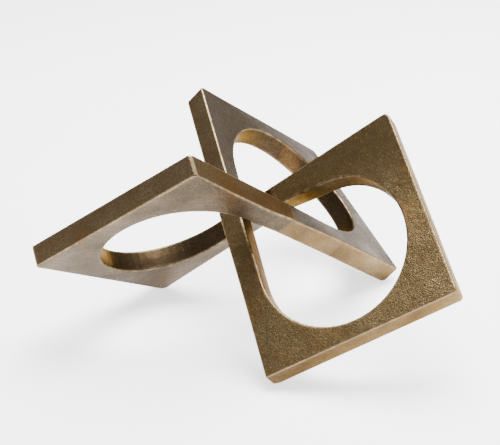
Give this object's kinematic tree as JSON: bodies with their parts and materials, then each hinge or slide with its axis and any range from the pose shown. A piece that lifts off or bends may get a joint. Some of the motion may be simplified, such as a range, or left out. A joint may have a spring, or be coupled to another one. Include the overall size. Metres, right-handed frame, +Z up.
{
  "type": "interlocked squares puzzle sculpture",
  "caption": "Tabletop puzzle sculpture: square plates with round holes, joined arm to arm into one closed loop that threads through itself.",
  "frame": {"origin": "centre of the bounding box, on the table plane under the three ground feet", "axes": "+Z up; +Y away from the picture's camera; +X to its right"},
  "size_m": [0.2596, 0.2586, 0.1376],
  "materials": {
    "cast_bronze": "antique sand-cast, dark gold-brown patina, edges worn bright",
    "braze_filler": "filed flush, patinated"
  },
  "bodies": {
    "root": {"right_frame_casting": "cast_bronze", "left_frame_casting": "cast_bronze", "rear_frame_casting": "cast_bronze", "right_braze_seam": "braze_filler", "left_braze_seam": "braze_filler", "rear_braze_seam": "braze_filler"}
  },
  "joints": []
}
